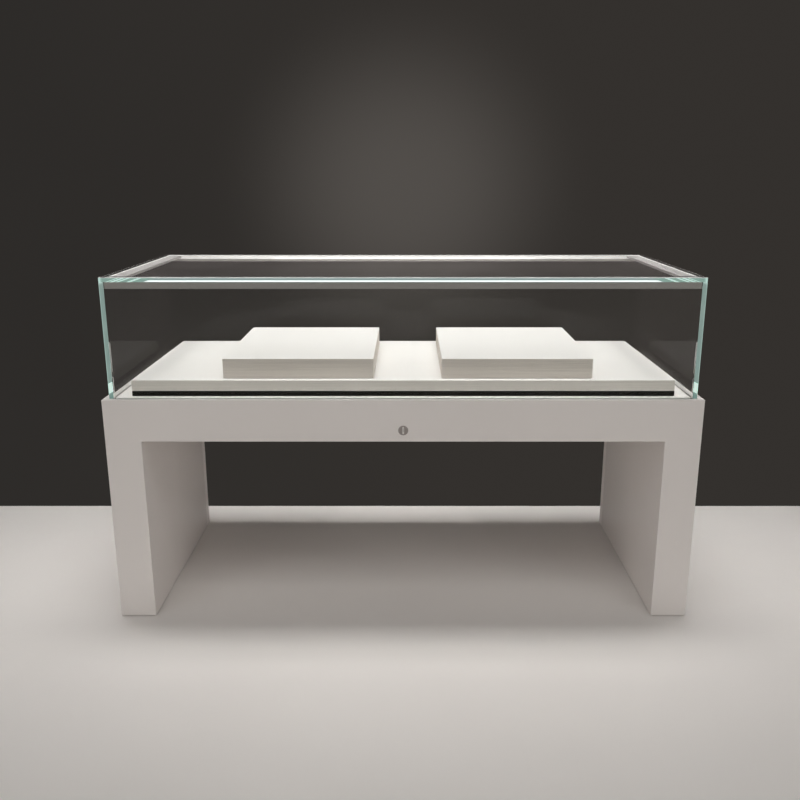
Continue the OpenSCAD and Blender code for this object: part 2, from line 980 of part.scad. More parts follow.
// Light bar: a channel that opens towards the deck, over a solid lower part
module light_bar(end) {
    color(anodised)
        bar_place(end)
            difference() {
                square([bar_d, bar_h]);
                translate([bar_wall, bar_lip])
                    square([bar_d, bar_h - bar_lip - bar_wall]);
            }
}

module light_diffuser(end) {
    color(opal)
        bar_place(end)
            translate([bar_d - diffuser_t, bar_lip])
                square([diffuser_t, bar_h - bar_lip - bar_wall]);
}

module led_boards() {
    edge = 1;
    color(board_green)
        for (end = [-1, 1])
            bar_place(end)
                translate([bar_wall, bar_lip + edge])
                    square([led_board_t, bar_h - bar_lip - bar_wall - 2 * edge]);
}

// Flat strip under the top pane along one side
module side_strip(side) {
    x = pane_in_x - strip_gap;
    y = pane_in_y - bar_d;
    color(anodised)
        on_side(side)
            block([x - strip_w, -y, pane_top - strip_t], [x, y, pane_top]);
}

// Puts a supply piece at the inlet, drawn upwards from the panel's outer face
module inlet_place() {
    translate([inlet_x, inlet_y, apron_z])
        children();
}

// Well that is cut up into the inlet from its lower face
module inlet_well(dx, size) {
    translate([dx - size[0] / 2, -size[1] / 2, -inlet_flange[2] - over])
        cube([size[0], size[1], size[2] + over]);
}

// Power inlet with its socket and the well of the rocker, both open downwards
module power_inlet() {
    color(near_black)
        inlet_place() {
            difference() {
                union() {
                    translate([0, 0, inlet_size[2] / 2])
                        cube(inlet_size, center = true);
                    translate([0, 0, -inlet_flange[2] / 2])
                        cube(inlet_flange, center = true);
                }
                inlet_well(socket_dx, socket_size);
                inlet_well(rocker_dx, rocker_hole);
                rocker_pin(fit);
            }
            for (i = [-1, 0, 1])
                translate([socket_dx + i * blade_dx, (i == 0 ? -1 : 1) * blade_dy,
                           socket_size[2] - inlet_flange[2]])
                    mirror([0, 0, 1])
                        translate([-blade[0] / 2, -blade[1] / 2, 0])
                            cube(blade);
        }
}

// Pivot of the rocker along X
module rocker_pin(extra = 0) {
    len = rocker_hole[0] + 2 + 2 * extra;
    translate([rocker_dx, 0, rocker_z])
        rotate([0, 90, 0])
            cylinder(h = len, r = rocker_pin_r + extra, center = true);
}

module power_rocker() {
    color(dark_steel)
        inlet_place() {
            rocker_pin();
            translate([rocker_dx - rocker_hole[0] / 2 + free, 0, rocker_z])
                rotate([rocker_tilt, 0, 0])
                    rotate([90, 0, 90])
                        linear_extrude(rocker_hole[0] - 2 * free)
                            intersection() {
                                circle(r = rocker_r);
                                polygon(rocker_face);
                            }
        }
}

module led_driver() {
    color(white)
        translate([driver_x, driver_y, beam_z]) {
            translate([0, 0, driver_h / 2])
                cube([driver_len, driver_w, driver_h], center = true);
            translate([0, 0, ear_t / 2])
                cube([driver_len / 2, driver_w + 2 * ear, ear_t], center = true);
        }
}

// Straight piece of lead along +X from a point
module lead_along_x(from, len) {
    translate(from)
        rotate([0, 90, 0])
            cylinder(h = len, r = lead_r);
}

module lead_bend() {
    rotate_extrude(angle = 90)
        translate([bend_r, 0])
            circle(r = lead_r);
}

// Leads from the inlet to the driver, and from the driver to the contact block
module supply_leads() {
    driver_end = driver_x + driver_len / 2;
    corner_y = driver_y + bend_r;
    block_x = contact_x + bend_r;
    color(rubber) {
        translate([inlet_x, corner_y, lead_z])
            rotate([-90, 0, 0])
                cylinder(h = inlet_y - inlet_size[1] / 2 - corner_y, r = lead_r);
        translate([inlet_x - bend_r, corner_y, lead_z])
            rotate([0, 0, -90])
                lead_bend();
        lead_along_x([driver_end, driver_y, lead_z], inlet_x - bend_r - driver_end);
        lead_along_x([block_x, driver_y, lead_z], driver_x - driver_len / 2 - block_x);
        translate([block_x, driver_y, lead_z + bend_r])
            rotate([90, 0, 0])
                rotate([0, 0, 180])
                    lead_bend();
        translate([contact_x, driver_y, lead_z + bend_r])
            cylinder(h = top_z - lead_z - bend_r, r = lead_r);
    }
}

// Block in the groove's floor that hands the supply to the hood
module contact_block() {
    color(dark_steel)
        translate([contact_x, driver_y, groove_z - contact_size[2] / 2])
            cube(contact_size, center = true);
}

// Pad under the hood's left rail that meets the contact block when the hood is shut
module contact_pad() {
    pad_t = gasket_h - free;
    color(steel)
        translate([contact_x, driver_y, rail_z - pad_t / 2])
            cube([contact_size[0], contact_size[1], pad_t], center = true);
}

leg_casing(-1);  // leg_casing_left
leg_casing(1);  // leg_casing_right
front_apron();
rear_apron();
leg_cover(-1);  // leg_cover_left
leg_cover(1);  // leg_cover_right
underside_panel();
leg_plates();
leg_posts();
long_rails();
cross_rails();
top_panel();
hood_gasket();
plinth();
deck();
riser(-1);  // riser_left
riser(1);  // riser_right
panel_screws();
hinge_leaves_base();
hinge_pins();
strut_brackets();
lock_barrel();
led_driver();
power_inlet();
supply_leads();
contact_block();
foot(-1, -1);  // foot_front_left
foot(1, -1);  // foot_front_right
foot(-1, 1);  // foot_rear_left
foot(1, 1);  // foot_rear_right
lock_plug();
lock_cam();
cam_screw();
power_rocker();
strut_cylinder(-1);  // strut_cylinder_left
strut_cylinder(1);  // strut_cylinder_right
strut_rod(-1);  // strut_rod_left
strut_rod(1);  // strut_rod_right
glass_top();
glass_long(-1);  // glass_front
glass_long(1);  // glass_rear
glass_side(-1);  // glass_left
glass_side(1);  // glass_right
hood_rail_long(-1);  // hood_rail_front
hood_rail_long(1);  // hood_rail_rear
hood_rail_side(-1);  // hood_rail_left
hood_rail_side(1);  // hood_rail_right
glazing_seal();
light_bar(-1);  // light_bar_front
light_bar(1);  // light_bar_rear
light_diffuser(-1);  // light_diffuser_front
light_diffuser(1);  // light_diffuser_rear
led_boards();
side_strip(-1);  // side_strip_left
side_strip(1);  // side_strip_right
hinge_leaves_hood();
strut_arms();
lock_strike();
contact_pad();
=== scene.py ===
import math

import bmesh
import bpy
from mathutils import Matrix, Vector


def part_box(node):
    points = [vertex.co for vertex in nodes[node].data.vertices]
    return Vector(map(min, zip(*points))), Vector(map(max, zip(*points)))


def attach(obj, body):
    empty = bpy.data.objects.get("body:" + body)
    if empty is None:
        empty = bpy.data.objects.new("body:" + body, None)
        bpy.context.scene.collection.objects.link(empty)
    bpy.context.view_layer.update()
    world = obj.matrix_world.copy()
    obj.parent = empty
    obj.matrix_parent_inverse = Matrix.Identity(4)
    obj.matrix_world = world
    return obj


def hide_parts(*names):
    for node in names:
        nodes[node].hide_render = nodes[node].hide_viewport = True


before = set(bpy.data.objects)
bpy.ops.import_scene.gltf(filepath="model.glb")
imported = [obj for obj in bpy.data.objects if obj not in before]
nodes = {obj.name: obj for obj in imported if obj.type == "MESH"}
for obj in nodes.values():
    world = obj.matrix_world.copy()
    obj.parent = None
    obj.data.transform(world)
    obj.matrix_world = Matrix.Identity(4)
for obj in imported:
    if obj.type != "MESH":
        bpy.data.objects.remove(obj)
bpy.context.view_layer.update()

# The case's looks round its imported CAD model. Lengths are in metres, in the CAD's own frame.

X, Y, Z = 0, 1, 2
PAIR = ("left", "right")
SIDES = ("front", "rear", *PAIR)


# Colours

def rgb(r, g, b):
    """Linear colour of three sRGB bytes."""
    out = []
    for part in (r, g, b):
        part /= 255
        out.append(part / 12.92 if part <= 0.04045 else ((part + 0.055) / 1.055) ** 2.4)
    return (*out, 1.0)


def grey(value, warm=0.0):
    """Linear grey, drawn towards a warm tone by a share of its own value."""
    return (value * (1 + warm), value, value * (1 - warm), 1.0)


# Node trees

class Tree:
    """A material's node tree, with short calls for the nodes that the materials share."""

    def __init__(self, name):
        self.mat = bpy.data.materials.new(name)
        self.mat.use_nodes = True
        self.nodes = self.mat.node_tree.nodes
        self.nodes.clear()
        self.out = self.nodes.new("ShaderNodeOutputMaterial")
        self.coord = self.nodes.new("ShaderNodeTexCoord")

    def link(self, a, b):
        self.mat.node_tree.links.new(a, b)

    def feed(self, socket, value):
        """Links an output to a socket, or sets the socket to a plain value."""
        if isinstance(value, bpy.types.NodeSocket):
            self.link(value, socket)
        else:
            socket.default_value = value

    def show(self, shader):
        self.link(shader, self.out.inputs[0])

    def principled(self, **values):
        """Adds the main shader and shows it."""
        node = self.nodes.new("ShaderNodeBsdfPrincipled")
        for key, value in values.items():
            node.inputs[key.replace("_", " ")].default_value = value
        self.show(node.outputs[0])
        self.body = node
        return node

    def shader(self, kind, color, **values):
        """Adds a plain shader of one kind."""
        node = self.nodes.new("ShaderNodeBsdf" + kind)
        self.feed(node.inputs[0], color)
        for key, value in values.items():
            self.feed(node.inputs[key], value)
        return node.outputs[0]

    def blend(self, fac, a, b):
        """Mix of two shaders."""
        node = self.nodes.new("ShaderNodeMixShader")
        self.feed(node.inputs[0], fac)
        self.link(a, node.inputs[1])
        self.link(b, node.inputs[2])
        return node.outputs[0]

    def tint(self, tone):
        """Colours the principled shader, and keeps the tone so that it can be painted over."""
        self.tone = tone
        self.feed(self.body.inputs["Base Color"], tone)

    def noise(self, scale, detail=3.0, rough=0.55, stretch=(1, 1, 1)):
        """Noise over the object's own coordinates. A small stretch draws it out along that axis."""
        mapping = self.nodes.new("ShaderNodeMapping")
        mapping.inputs["Scale"].default_value = stretch
        self.link(self.coord.outputs["Object"], mapping.inputs["Vector"])
        node = self.nodes.new("ShaderNodeTexNoise")
        node.inputs["Scale"].default_value = scale
        node.inputs["Detail"].default_value = detail
        node.inputs["Roughness"].default_value = rough
        self.link(mapping.outputs[0], node.inputs["Vector"])
        return node.outputs["Fac"]

    def place(self):
        """The three object coordinates, in metres."""
        node = self.nodes.new("ShaderNodeSeparateXYZ")
        self.link(self.coord.outputs["Object"], node.inputs[0])
        return node.outputs

    def span(self, value, low, high, start=0.3, end=0.7):
        """Value as read from start to end, given out from low to high."""
        node = self.nodes.new("ShaderNodeMapRange")
        node.inputs["From Min"].default_value = start
        node.inputs["From Max"].default_value = end
        node.inputs["To Min"].default_value = low
        node.inputs["To Max"].default_value = high
        self.link(value, node.inputs["Value"])
        return node.outputs["Result"]

    def band(self, value, start, end, soft):
        """1 between start and end, falling to 0 over the soft width on each side."""
        rise = self.span(value, 0.0, 1.0, start - soft, start)
        fall = self.span(value, 1.0, 0.0, end, end + soft)
        return self.math("MULTIPLY", rise, fall)

    def mix(self, fac, a, b):
        node = self.nodes.new("ShaderNodeMix")
        node.data_type = "RGBA"
        self.feed(node.inputs[0], fac)
        self.feed(node.inputs[6], a)
        self.feed(node.inputs[7], b)
        return node.outputs[2]

    def math(self, op, a, b=0.0):
        node = self.nodes.new("ShaderNodeMath")
        node.operation = op
        self.feed(node.inputs[0], a)
        self.feed(node.inputs[1], b)
        return node.outputs[0]

    def bump(self, height, strength, distance):
        node = self.nodes.new("ShaderNodeBump")
        node.inputs["Strength"].default_value = strength
        node.inputs["Distance"].default_value = distance
        self.link(height, node.inputs["Height"])
        return node.outputs[0]

    def backfacing(self):
        return self.nodes.new("ShaderNodeNewGeometry").outputs["Backfacing"]

    def edges(self, radius):
        """1 on the edges of a piece and 0 on its faces."""
        bevel = self.nodes.new("ShaderNodeBevel")
        bevel.samples = 4
        bevel.inputs["Radius"].default_value = radius
        geo = self.nodes.new("ShaderNodeNewGeometry")
        dot = self.nodes.new("ShaderNodeVectorMath")
        dot.operation = "DOT_PRODUCT"
        self.link(bevel.outputs[0], dot.inputs[0])
        self.link(geo.outputs["Normal"], dot.inputs[1])
        edge_dot, face_dot = 0.86, 0.995
        return self.span(dot.outputs["Value"], 1.0, 0.0, edge_dot, face_dot)


# Materials

def coated(name, color, dirt, rough=(0.38, 0.46), peel=0.25, wear=None, spec=0.42, grain=None):
    """Satin paint or lacquer: faint clouds of tone, fine orange peel, worn edges."""
    worn_width, peel_height = 0.0022, 0.00012
    t = Tree(name)
    body = t.principled(Specular_IOR_Level=spec)
    clouds = t.span(t.noise(2.2, 4.0), 0.0, 0.55, 0.35, 0.75)
    flecks = t.span(t.noise(520.0, 2.0, 0.5), 0.0, 0.10, 0.45, 0.70)
    tone = t.mix(flecks, t.mix(clouds, color, dirt), dirt)
    if grain is not None:
        lines = t.noise(260.0, 5.0, 0.65, grain)
        tone = t.mix(t.span(lines, 0.0, 0.9, 0.42, 0.66), tone, dirt)
    if wear is not None:
        patches = t.span(t.noise(26.0, 5.0), 0.0, 0.8, 0.42, 0.62)
        tone = t.mix(t.math("MULTIPLY", t.edges(worn_width), patches), tone, wear)
    t.tint(tone)
    t.link(t.span(t.noise(38.0, 4.0), *rough), body.inputs["Roughness"])
    t.link(t.bump(t.noise(820.0, 2.0, 0.4), peel, peel_height), body.inputs["Normal"])
    return t


def metal(
    name, color, dark, rough=(0.28, 0.42), brush=(1, 1, 1), scale=180.0, depth=0.00006, metallic=1.0
):
    """Bare, plated or anodised metal with brush lines along the axis that brush squeezes."""
    t = Tree(name)
    body = t.principled(Metallic=metallic)
    grain = t.noise(scale, 4.0, 0.6, brush)
    tone = t.mix(t.span(t.noise(9.0, 4.0), 0.0, 0.5), color, dark)
    t.tint(t.mix(t.span(grain, 0.0, 0.35), tone, dark))
    t.link(t.span(grain, *rough), body.inputs["Roughness"])
    t.link(t.bump(grain, 0.5, depth), body.inputs["Normal"])
    return t


def moulded(name, color, pale, rough=(0.5, 0.62), scale=900.0, spec=0.4):
    """Plastic or rubber with a fine spark-eroded grain and paler edges."""
    worn_width, grain_height = 0.0008, 0.0001
    t = Tree(name)
    body = t.principled(Specular_IOR_Level=spec)
    grain = t.noise(scale, 3.0, 0.6)
    tone = t.mix(t.span(t.noise(14.0, 4.0), 0.0, 0.5), color, pale)
    t.tint(t.mix(t.math("MULTIPLY", t.edges(worn_width), 0.5), tone, pale))
    t.link(t.span(grain, *rough), body.inputs["Roughness"])
    t.link(t.bump(grain, 0.6, grain_height), body.inputs["Normal"])
    return t


def white_coat(name):
    """Warm white powder coat of all the sheet metal."""
    return coated(name, (0.92, 0.87, 0.838, 1), (0.87, 0.82, 0.788, 1), wear=(0.94, 0.90, 0.875, 1))


def shell_coat():
    """White coat of the legs and apron, with painted shade darkening it towards the rear of the legs'
    inner faces.
    """
    t = white_coat("shell_coat")
    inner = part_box("leg_casing_right")[0][X]
    shade_from, shade_to = -0.05, 0.30
    x, y, _ = t.place()
    inside = t.span(t.math("ABSOLUTE", x), 1.0, 0.0, inner + 0.0003, inner + 0.0006)
    painted_shade = t.math("MULTIPLY", inside, t.span(y, 0.0, 1.0, shade_from, shade_to))
    # Painted shade: the legs' inner faces turn darker towards the rear, where less light reaches between
    # the legs.
    t.tint(t.mix(painted_shade, t.tone, (0.76, 0.71, 0.68, 1)))
    return t.mat


def white_board():
    """Lacquered board of the deck, the risers and the top."""
    return coated(
        "white_board", (0.875, 0.845, 0.83, 1), (0.84, 0.81, 0.79, 1),
        rough=(0.42, 0.52), peel=0.15, wear=(0.94, 0.93, 0.91, 1),
    ).mat


def board_edge(name, color, dirt):
    """Sides of a board: its lacquer on the sawn edge, of a warmer tone and with fine level lines."""
    level_lines = (0.02, 0.02, 1.6)
    return coated(
        name, color, dirt, rough=(0.5, 0.62), peel=0.5, wear=(0.93, 0.90, 0.86, 1), grain=level_lines
    ).mat


def lets_light_in(t, shader, clear):
    """Shows the shader, but passes light from lamps and between surfaces straight on."""
    path = t.nodes.new("ShaderNodeLightPath")
    through = t.shader("Transparent", clear)
    for ray in ("Is Diffuse Ray", "Is Shadow Ray"):
        shader = t.blend(path.outputs[ray], shader, through)
    t.show(shader)


def clear_glass():
    """Clear pane with a low reflection: it bends light, with a weak mirror and a breath of dust.

    A ray that would be trapped inside the pane goes straight on. So does a lamp's light, and less of
    it comes through at a slant.
    """
    ior, all_reflected = 1.5, 0.98
    t = Tree("clear_glass")
    angle = t.nodes.new("ShaderNodeLayerWeight")
    angle.inputs["Blend"].default_value = 0.5
    facing = angle.outputs["Facing"]
    mirror = t.span(t.math("POWER", facing, 5.0), 0.006, 0.11, 0.0, 1.0)
    smear = t.span(t.noise(6.0, 6.0, 0.65), 0.6, 1.4)
    dust = t.math("MULTIPLY", t.span(t.math("POWER", facing, 3.0), 0.003, 0.048, 0.0, 1.0), smear)
    gloss = t.shader("Glossy", (1, 1, 1, 1), Roughness=t.span(t.noise(9.0, 5.0, 0.6), 0.0, 0.03))
    bend = t.shader("Refraction", (0.985, 0.99, 0.985, 1), Roughness=0.0, IOR=ior)
    limit = t.nodes.new("ShaderNodeFresnel")
    limit.inputs["IOR"].default_value = ior
    reflected = t.math("GREATER_THAN", limit.outputs[0], all_reflected)
    trapped = t.math("MULTIPLY", reflected, t.backfacing())
    bend = t.blend(trapped, bend, t.shader("Transparent", (0.90, 0.965, 0.945, 1)))
    body = t.blend(dust, bend, t.shader("Diffuse", (0.90, 0.80, 0.80, 1)))
    lost = t.math("POWER", facing, 5.5)
    passed = t.mix(lost, (0.97, 0.98, 0.975, 1), (0.08, 0.08, 0.08, 1))
    lets_light_in(t, t.blend(mirror, body, gloss), passed)
    return t.mat


def bonded_edge():
    """Edge of a pane that is glued to the next pane. The glue hides it."""
    t = Tree("glass_bonded")
    t.show(t.shader("Transparent", t.mix(t.noise(30.0), (0.995, 1, 0.998, 1), (0.99, 1, 0.995, 1))))
    return t.mat


EDGE_CLEAR = (0.93, 0.97, 0.955, 1)


def one_sided(t, shader):
    """Shows the shader from outside alone."""
    inside = t.shader("Transparent", (1, 1, 1, 1))
    lets_light_in(t, t.blend(t.backfacing(), shader, inside), EDGE_CLEAR)
    t.mat.use_backface_culling = True


def edge_shader(t, tone, glow=0.5, lit=None):
    """Polished glass edge: lit from outside, with a painted glow in its emission standing in for the
    light that travels inside the pane.
    """
    body = t.principled(Specular_IOR_Level=0.5)
    body.inputs["Emission Strength"].default_value = glow
    t.link(tone, body.inputs["Base Color"])
    t.link(lit or tone, body.inputs["Emission Color"])
    t.link(t.span(t.noise(60.0, 3.0), 0.06, 0.14), body.inputs["Roughness"])
    return body.outputs[0]


def side_edge():
    """Upright edge of a side pane, with painted light: a painted highlight along its outer rim and near
    its head, and the deck's light painted as a glow near its foot, with painted shade just below that
    glow.
    """
    highlight_width, glow_height, head_height = 0.0016, 0.026, 0.010
    t = Tree("glass_edge_side")
    x, _, z = t.place()
    out = t.math("ABSOLUTE", x)
    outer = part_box("glass_right")[1][X]
    foot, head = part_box("deck")[0][Z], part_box("glass_right")[1][Z]
    slant = t.math("ADD", z, t.math("MULTIPLY", t.math("SUBTRACT", out, outer), 0.5))
    rim = t.band(out, outer - highlight_width, outer, 0.0008)
    glow = t.band(slant, foot, foot + glow_height, 0.0012)
    foot_shade = t.span(slant, 1.0, 0.0, foot - 0.006, foot - 0.002)
    above = t.span(slant, 0.0, 0.8, head - head_height, head)
    tone = t.mix(t.span(t.noise(14.0, 2.0), 0.0, 1.0), rgb(127, 150, 145), rgb(138, 158, 152))
    # Painted light and shade: highlight on the outer rim, the deck's light as a glow near the foot,
    # shade below it, highlight near the head.
    tone = t.mix(rim, tone, rgb(166, 192, 185))
    tone = t.mix(glow, tone, rgb(214, 242, 232))
    tone = t.mix(foot_shade, tone, rgb(112, 140, 134))
    tone = t.mix(above, tone, rgb(205, 232, 225))
    one_sided(t, edge_shader(t, tone))
    return t.mat


def top_edge():
    """Level edge of the top pane, with painted light: a painted highlight line low in it, slanting
    painted highlight streaks near the corners, painted highlights near its top and its outer ends, and a
    painted glow. It is darker low down, and darker and greener near the corners.
    """
    highlight_streaks = ((0.019, 0.0015), (0.032, 0.004), (0.047, 0.003), (0.076, 0.0045))
    streak_slant, line_inset, corner_inset, fade = 3.0, 0.120, 0.116, 0.010
    mint, highlight_tone = rgb(205, 236, 226), rgb(240, 253, 250)
    t = Tree("glass_edge_top")
    lo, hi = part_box("glass_top")
    x, _, z = t.place()
    out = t.math("ABSOLUTE", x)
    height = t.span(z, 0.0, 1.0, lo[Z], hi[Z])
    core = t.mix(t.span(t.noise(5.0, 2.0), 0.0, 1.0), rgb(146, 164, 164), rgb(158, 172, 171))
    core = t.mix(t.span(height, 0.0, 1.0, 0.45, 0.85), rgb(138, 156, 155), core)
    rise = t.math("SUBTRACT", z, lo[Z])
    run = t.math("ADD", out, t.math("MULTIPLY", rise, streak_slant))
    streaks = 0.0
    for inset, half in highlight_streaks:
        centre = hi[X] - inset
        streaks = t.math("ADD", streaks, t.band(run, centre - half, centre + half, 0.002))
    line_end, corner_from = hi[X] - line_inset, hi[X] - corner_inset
    inward = t.span(run, 1.0, 0.0, line_end, line_end + fade)
    highlight_line = t.math("MULTIPLY", t.band(height, 0.10, 0.38, 0.06), inward)
    corner = t.span(run, 0.0, 1.0, corner_from, corner_from + 1.2 * fade)
    # Painted light on the edge: highlight streaks, a highlight line, pale highlights near the top and at
    # the outer ends; darker and greener near the corners.
    tone = t.mix(corner, core, rgb(134, 164, 155))
    tone = t.mix(streaks, tone, mint)
    tone = t.mix(highlight_line, tone, highlight_tone)
    tone = t.mix(t.span(height, 0.0, 1.0, 0.86, 0.92), tone, rgb(228, 232, 231))
    tone = t.mix(t.span(out, 0.0, 0.8, hi[X] - 0.010, hi[X] - 0.004), tone, rgb(196, 226, 218))
    # Painted glow: the highlight line glows at full, the rest of the edge at a share of its tone.
    lit = t.mix(highlight_line, t.mix(0.38, tone, (0, 0, 0, 1)), highlight_tone)
    one_sided(t, edge_shader(t, tone, 0.8, lit))
    return t.mat


def arris():
    """Ground corner along the top pane's upper rim, with a painted highlight and glow standing in for
    the light it catches from every side.
    """
    t = Tree("glass_arris")
    tone = t.mix(t.span(t.noise(8.0, 2.0), 0.0, 1.0), rgb(150, 152, 150), rgb(176, 178, 175))
    lets_light_in(t, edge_shader(t, tone, 0.3), EDGE_CLEAR)
    return t.mat


def opal():
    """Lit diffuser, brightest along the middle and fading towards its ends and its lower edge."""
    glow = 0.62
    lo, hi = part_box("light_diffuser_rear")
    t = Tree("opal")
    body = t.principled(Base_Color=(0.90, 0.89, 0.87, 1))
    x, _, z = t.place()
    ends = t.span(t.math("ABSOLUTE", x), 0.0, 1.0, 0.5 * hi[X], hi[X])
    foot = t.span(z, 1.0, 0.0, lo[Z] + 0.001, lo[Z] + 0.002)
    specks = t.span(t.noise(40.0, 1.0, 0.5), 0.0, 1.0)
    tone = t.mix(specks, (1.0, 0.985, 0.965, 1), (0.98, 0.965, 0.945, 1))
    tone = t.mix(ends, tone, (0.50, 0.47, 0.46, 1))
    tone = t.mix(foot, tone, (0.10, 0.095, 0.09, 1))
    t.link(tone, body.inputs["Emission Color"])
    body.inputs["Emission Strength"].default_value = glow
    t.link(t.span(t.noise(300.0, 3.0), 0.35, 0.5), body.inputs["Roughness"])
    t.link(t.bump(t.noise(1200.0, 2.0), 0.2, 0.00005), body.inputs["Normal"])
    return t.mat


ANODISED = {"rough": (0.36, 0.46), "scale": 900.0, "depth": 0.00003, "metallic": 0.35}


def bar_metal():
    """Anodised light bar with a painted glow on its top, standing in for the LED light that leaks up
    into the glass. Dark tape covers the front bar's top, except its front edge.
    """
    bare_width = 0.008
    t = metal(
        "aluminium_bar", (0.62, 0.585, 0.565, 1), (0.56, 0.525, 0.505, 1), brush=(0.03, 1, 1), **ANODISED
    )
    lo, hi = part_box("light_bar_front")
    _, y, z = t.place()
    top = t.span(z, 0.0, 1.0, hi[Z] - 0.0006, hi[Z] - 0.0004)
    tape = t.band(y, lo[Y] + bare_width, hi[Y], 0.0005)
    # Painted glow: the pale top of the bars, and the untaped front edge of the front bar's top, stand in
    # for LED light leaking into the glass.
    face = t.mix(tape, (0.95, 0.94, 0.94, 1), (0.05, 0.047, 0.045, 1))
    t.tint(t.mix(top, t.tone, face))
    return t.mat


def strip_metal():
    """Anodised side strip with a painted highlight along its outer border, where it catches the light.
    """
    highlight_width = 0.008
    t = metal(
        "aluminium_strip", (0.64, 0.61, 0.61, 1), (0.58, 0.55, 0.55, 1), brush=(1, 0.03, 1), **ANODISED
    )
    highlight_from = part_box("side_strip_right")[1][X] - highlight_width
    out = t.math("ABSOLUTE", t.place()[X])
    # Painted highlight along the strip's outer border.
    rim = t.span(out, 0.0, 1.0, highlight_from - 0.0005, highlight_from + 0.0005)
    t.tint(t.mix(rim, t.tone, (0.99, 0.98, 0.97, 1)))
    return t.mat


def sealant():
    """Clear silicone, with painted shade where it lies in the narrow joint inside the side panes."""
    joint_width = 0.003
    t = moulded(
        "clear_silicone", (0.60, 0.60, 0.585, 1), (0.68, 0.68, 0.665, 1), rough=(0.3, 0.4), scale=300.0
    )
    joint_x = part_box("glass_right")[0][X]
    out = t.math("ABSOLUTE", t.place()[X])
    joint_shade = t.band(out, joint_x - joint_width, joint_x, 0.0002)
    # Painted shade in the narrow joint.
    t.tint(t.mix(joint_shade, t.tone, (0.10, 0.09, 0.085, 1)))
    return t.mat


FINISH = {
    "white": white_coat("white_coat").mat,
    "shell": shell_coat(),
    "board": white_board(),
    "deck_edge": board_edge("deck_edge", (0.93, 0.88, 0.82, 1), (0.83, 0.78, 0.72, 1)),
    # The risers' sides: a warmer lacquer tone, darkened as painted shade on their upright faces.
    "riser_edge_shaded": board_edge("riser_edge_shaded", (0.83, 0.765, 0.70, 1), (0.71, 0.65, 0.59, 1)),
    "black_board": coated(
        "black_board", (0.009, 0.009, 0.007, 1), (0.012, 0.012, 0.010, 1),
        rough=(0.75, 0.85), peel=0.1, spec=0.06,
    ).mat,
    "tube": coated(
        "tube_steel", grey(0.205), grey(0.15), rough=(0.55, 0.7), peel=0.5, wear=grey(0.32)
    ).mat,
    "steel": metal("bright_steel", grey(0.62, 0.01), grey(0.44, 0.01)).mat,
    "nickel": metal(
        "lock_metal", (0.49, 0.44, 0.415, 1), (0.37, 0.33, 0.31, 1),
        rough=(0.4, 0.55), scale=900.0, metallic=0.4,
    ).mat,
    "shutter": metal(
        "lock_shutter", (0.92, 0.89, 0.86, 1), (0.80, 0.77, 0.74, 1),
        rough=(0.35, 0.5), scale=900.0, metallic=0.15,
    ).mat,
    "black_metal": coated(
        "black_metal", grey(0.03), grey(0.045), rough=(0.35, 0.5), peel=0.3, wear=grey(0.12)
    ).mat,
    "bar": bar_metal(),
    "strip": strip_metal(),
    "silicone": sealant(),
    "rubber": moulded("black_rubber", grey(0.022), grey(0.04), rough=(0.7, 0.85), spec=0.25).mat,
    "plastic": moulded("black_plastic", grey(0.02), grey(0.045)).mat,
    "led_board": moulded(
        "led_board", (0.78, 0.80, 0.78, 1), (0.70, 0.72, 0.70, 1), rough=(0.3, 0.4), scale=400.0
    ).mat,
    "glass": clear_glass(),
    "glass_bonded": bonded_edge(),
    "glass_side_edge": side_edge(),
    "glass_top_edge": top_edge(),
    "glass_arris": arris(),
    "opal": opal(),
}


# Shapes

SAME_POINT = 2e-5


def put(obj, *mats):
    """Replaces an object's materials. Its faces keep their slots."""
    slots = [min(face.material_index, len(mats) - 1) for face in obj.data.polygons]
    obj.data.materials.clear()
    for mat in mats:
        obj.data.materials.append(mat)
    obj.data.polygons.foreach_set("material_index", slots)


def soften(obj, width, segments=2, angle=35):
    """Rounds an object's edges that are sharper than angle."""
    bevel = obj.modifiers.new("bevel", "BEVEL")
    bevel.width = width
    bevel.segments = segments
    bevel.limit_method = "ANGLE"
    bevel.angle_limit = math.radians(angle)
    bevel.use_clamp_overlap = True
    bevel.miter_outer = "MITER_ARC"
    normals = obj.modifiers.new("normals", "WEIGHTED_NORMAL")
    normals.keep_sharp = True
    normals.weight = 80


def dress(node, mat, bevel=0.0):
    """Gives a CAD node its material, and breaks its sharp edges as the real piece's are."""
    obj = nodes[node]
    put(obj, mat)
    if bevel:
        weld = obj.modifiers.new("weld", "WELD")
        weld.merge_threshold = SAME_POINT
        flat = obj.modifiers.new("flat", "DECIMATE")
        flat.decimate_type = "DISSOLVE"
        flat.angle_limit = math.radians(1)
        soften(obj, bevel)


def new_piece(name, bm, body, slot, *mats):
    """Makes a piece of the part from a mesh in the row frame."""
    mesh = bpy.data.meshes.new(name)
    bm.normal_update()
    bm.to_mesh(mesh)
    bm.free()
    obj = bpy.data.objects.new(name, mesh)
    bpy.context.scene.collection.objects.link(obj)
    put(obj, *mats)
    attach(obj, body)
    return obj


def add_box(bm, lo, hi):
    """Adds a closed box between two corners."""
    for corner in bmesh.ops.create_cube(bm, size=1.0)["verts"]:
        corner.co = Vector([lo[i] + (corner.co[i] + 0.5) * (hi[i] - lo[i]) for i in (X, Y, Z)])


